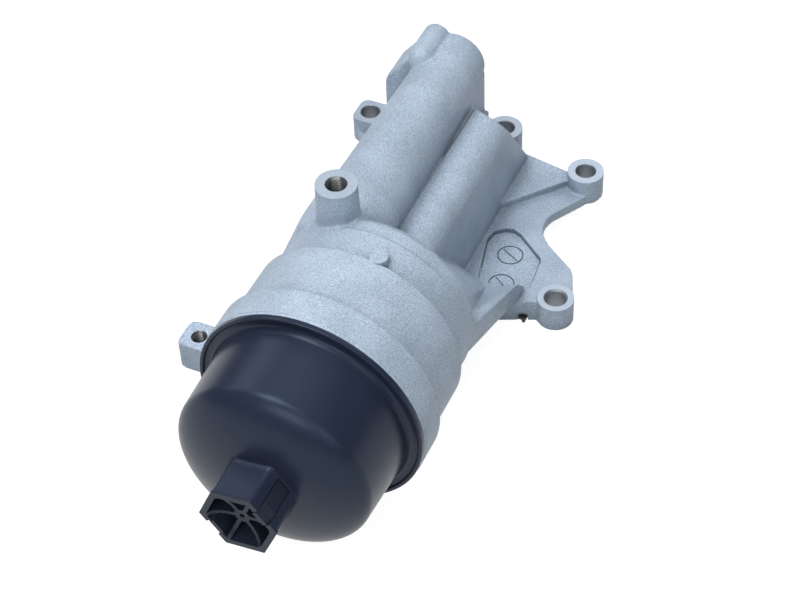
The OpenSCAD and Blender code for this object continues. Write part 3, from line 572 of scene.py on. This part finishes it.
def turned(line, steps, name, materials):
    """Solid of revolution about the filter axis, from a closed (radius, height) line."""
    mesh = bmesh.new()
    rings = [[mesh.verts.new(on_axis(r * math.cos(2 * math.pi * k / steps),
                                     r * math.sin(2 * math.pi * k / steps), h))
              for k in range(steps)] if r > 1e-6 else [mesh.verts.new(on_axis(0, 0, h))]
             for r, h in line]
    for low, high in list(zip(rings, rings[1:])) + [(rings[-1], rings[0])]:
        for k in range(steps):
            n = (k + 1) % steps
            corners = [low[k % len(low)], low[n % len(low)], high[n % len(high)], high[k % len(high)]]
            unique = list(dict.fromkeys(corners))
            if len(unique) > 2:
                mesh.faces.new(unique)
    bmesh.ops.recalc_face_normals(mesh, faces=mesh.faces)
    obj = to_object(mesh, name, materials)
    for p in obj.data.polygons:
        p.use_smooth = True
    return obj


outside = fillet([(37.3, -23.4), (38.3, -22.4), (38.3, -8.9), (40.7, -7), (40.7, -6.4), (38, -6.4),
                  (38, -2.8), (40.7, -2.8), (40.7, 0.1), (45.0, 0.1), (45.0, 2.1), (43.6, 2.1),
                  (43.1, 1.2), (41.2, 1.2), (40.2, 1.6), (39.35, 3.3), (CAP_END_R, CAP_LEN)],
                 [0, 0.3, 0.5, 0.3, 0.1, 0.2, 0.2, 0.2, 0.1, 0.2, 0.5, 0.3, 0.3, 0.4, 0.6, 0.7, 0], 4)
dome_outside = ellipse(CAP_END_R, DOME_H, CAP_LEN, 4, 89, 26)
dome_inside = ellipse(CAP_END_R - 2.8, DOME_H - 2.8, CAP_LEN, 90, 0, 20)
cap_line = outside + dome_outside + [(0, CAP_LEN + DOME_H)] + dome_inside + [(36.4, -21.4), (36.8, -23.4)]
cap = turned(cap_line, 160, "screw_cap", [cap_mat])

HEX_APO, HEX_WALL, HEX_TURN = 13.5, 1.9, math.radians(6.9)
HEX_TOP, SLOT_LEN = CAP_LEN + DOME_H + 15.4, 15.8
TUBE_END = HEX_TOP - 1


def hex_radius(a, apothem, corner):
    """Polar radius of a hexagon with rounded corners."""
    t = (a - HEX_TURN + math.pi / 6) % (math.pi / 3) - math.pi / 6
    t = abs(math.pi / 6 - abs(t))
    flat = apothem / math.cos(t)
    limit = apothem / math.cos(math.pi / 6) - corner
    return flat if flat < limit else limit + (flat - limit) * 0.35


def hex_tower(apothem, z0, z1, corner, flare=0.0, chamfer=0.0, steps=180):
    """Hexagonal column whose foot flares out by flare."""
    levels = []
    count = 7 if flare else 1
    for k in range(count):
        t = k / count
        levels.append((flare * (1 - math.sqrt(max(0.0, 1 - (1 - t) ** 2))), z0 + (3.4 * t if flare else 0)))
    if flare:
        levels.append((0.0, z0 + 3.5))
    levels += [(0.0, z1 - chamfer), (-chamfer, z1)] if chamfer else [(0.0, z1)]
    mesh = bmesh.new()
    rings = []
    for grow, z in levels:
        ring = []
        for k in range(steps):
            a = 2 * math.pi * k / steps
            r = hex_radius(a, apothem, corner) + grow
            ring.append(mesh.verts.new(on_axis(r * math.cos(a), r * math.sin(a), z)))
        rings.append(ring)
    for low, high in zip(rings, rings[1:]):
        for k in range(steps):
            n = (k + 1) % steps
            mesh.faces.new((low[k], low[n], high[n], high[k]))
    mesh.faces.new(list(reversed(rings[0])))
    mesh.faces.new(rings[-1])
    bmesh.ops.recalc_face_normals(mesh, faces=mesh.faces)
    return mesh


cut(cap, hex_tower(HEX_APO, CAP_LEN + DOME_H - 2.2, TUBE_END, 0.5, 2.2, 0.12), cap_mat, "UNION")
cut(cap, hex_tower(HEX_APO - HEX_WALL, CAP_LEN + DOME_H + 0.6, HEX_TOP + 3, 0.3), cap_mat)
for side in (0, 1):
    a = HEX_TURN + math.radians(30 + 180 * side)
    slot_cut = bmesh.new()
    lo, hi = [], []
    for u, w in ((11.3, -3.5), (20, -3.5), (20, 3.5), (11.3, 3.5)):
        x, y = u * math.cos(a) - w * math.sin(a), u * math.sin(a) + w * math.cos(a)
        lo.append(slot_cut.verts.new(on_axis(x, y, HEX_TOP - SLOT_LEN)))
        hi.append(slot_cut.verts.new(on_axis(x, y, HEX_TOP + 3)))
    for k in range(4):
        slot_cut.faces.new((lo[k], lo[(k + 1) % 4], hi[(k + 1) % 4], hi[k]))
    slot_cut.faces.new(list(reversed(lo)))
    slot_cut.faces.new(hi)
    bmesh.ops.recalc_face_normals(slot_cut, faces=slot_cut.faces)
    cut(cap, slot_cut, cap_mat)
for p in cap.data.polygons:
    p.use_smooth = True
cap.data.set_sharp_from_angle(angle=math.radians(28))
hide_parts("filter_cap")
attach(cap, "cap")

# Pieces kept from the CAD.
# Gasket, plug, pipes, valve, seals, cartridge and the insert in the hexagon. Their shapes stay as they
# are. Only the finish is new: rubber, pressed steel, moulded plastic or paper.
insert_mat = grain(new_material("insert_moulding", (0.02, 0.02, 0.025), 0, 0.42), 2400, 0.15, 0.0001,
                   (0.012, 0.017, 0.030), (0.020, 0.027, 0.044), 60, 0.4)
insert_mat.node_tree.nodes["Principled BSDF"].inputs["Specular IOR Level"].default_value = 0.3
insert_mat.node_tree.nodes["Principled BSDF"].inputs["Specular Tint"].default_value = (0.70, 0.84, 1, 1)
rubber_mat = grain(new_material("seal_rubber", (0.012, 0.012, 0.013), 0, 0.55), 1800, 0.2, 0.0001,
                   (0.010, 0.010, 0.011), (0.018, 0.018, 0.019), 80, 0.3)
steel_mat = grain(new_material("pressed_steel", (0.6, 0.6, 0.62), 1.0, 0.3), 1500, 0.08, 0.0001,
                  (0.55, 0.56, 0.58), (0.66, 0.67, 0.69), 100, 0.3)
pipe_mat = grain(new_material("pipe_moulding", (0.03, 0.03, 0.034), 0, 0.45), 2000, 0.2, 0.0001,
                 (0.026, 0.026, 0.030), (0.04, 0.04, 0.045), 60, 0.4)
paper_mat = grain(new_material("filter_paper", (0.8, 0.7, 0.45), 0, 0.85), 900, 0.5, 0.0003,
                  (0.70, 0.58, 0.34), (0.80, 0.69, 0.45), 120, 0.6)
red_mat = grain(new_material("filter_rubber", (0.25, 0.05, 0.03), 0, 0.5), 1800, 0.15, 0.0001,
                (0.22, 0.045, 0.03), (0.28, 0.06, 0.04), 80, 0.3)
finishes = {"flange_gasket": rubber_mat, "core_plug": steel_mat, "standpipe": pipe_mat,
            "standpipe_seal": rubber_mat, "anti_drain_flap": rubber_mat, "bypass_seat": pipe_mat,
            "bypass_spring_seat": steel_mat, "bypass_valve": steel_mat,
            "filter_pleats": paper_mat, "filter_core": pipe_mat, "filter_inner_disc": pipe_mat,
            "filter_outer_disc": pipe_mat, "filter_inner_seal": red_mat, "filter_outer_seal": red_mat,
            "drain_pin_seal": rubber_mat, "cap_o_ring": rubber_mat, "hex_insert": insert_mat}
for node, mat in finishes.items():
    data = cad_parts[node].data
    for k in range(max(1, len(data.materials))):
        if k < len(data.materials):
            data.materials[k] = mat
        else:
            data.materials.append(mat)

# Bypass spring.
# Round wire wound cold, with a closed turn at each end, held between the seat ring and the cup of the
# valve.
SPRING_R, WIRE_R, OPEN_TURNS, END_PITCH = 6.0, 0.5, 5, 1.02
CUP_END, SEAT_END, SEAT_FACE = -154.06, -135.92, -135.3
open_pitch = (SEAT_END - CUP_END - 2 * END_PITCH) / OPEN_TURNS
STEPS, SIDES = 32, 10
wire = bmesh.new()
hoops = []
for i in range((OPEN_TURNS + 2) * STEPS + 1):
    turns = i / STEPS
    y = CUP_END + (END_PITCH * min(turns, 1) + open_pitch * max(0, min(turns - 1, OPEN_TURNS))
                   + END_PITCH * max(0, turns - 1 - OPEN_TURNS))
    a = 2 * math.pi * turns
    hoop = []
    for j in range(SIDES):
        c = 2 * math.pi * j / SIDES
        r = SPRING_R + WIRE_R * math.cos(c)
        hoop.append(wire.verts.new(Vector((r * math.cos(a), y + WIRE_R * math.sin(c),
                                           AXIS_H + r * math.sin(a))) * MM))
    hoops.append(hoop)
for one, two in zip(hoops, hoops[1:]):
    for j in range(SIDES):
        wire.faces.new((one[j], two[j], two[(j + 1) % SIDES], one[(j + 1) % SIDES]))
wire.faces.new(hoops[0])
wire.faces.new(hoops[-1])
bmesh.ops.recalc_face_normals(wire, faces=wire.faces)
spring = to_object(wire, "valve_spring", [steel_mat])
for p in spring.data.polygons:
    p.use_smooth = True
spring.data.set_sharp_from_angle(angle=math.radians(50))
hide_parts("bypass_spring")
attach(spring, "housing")
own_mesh(spring)
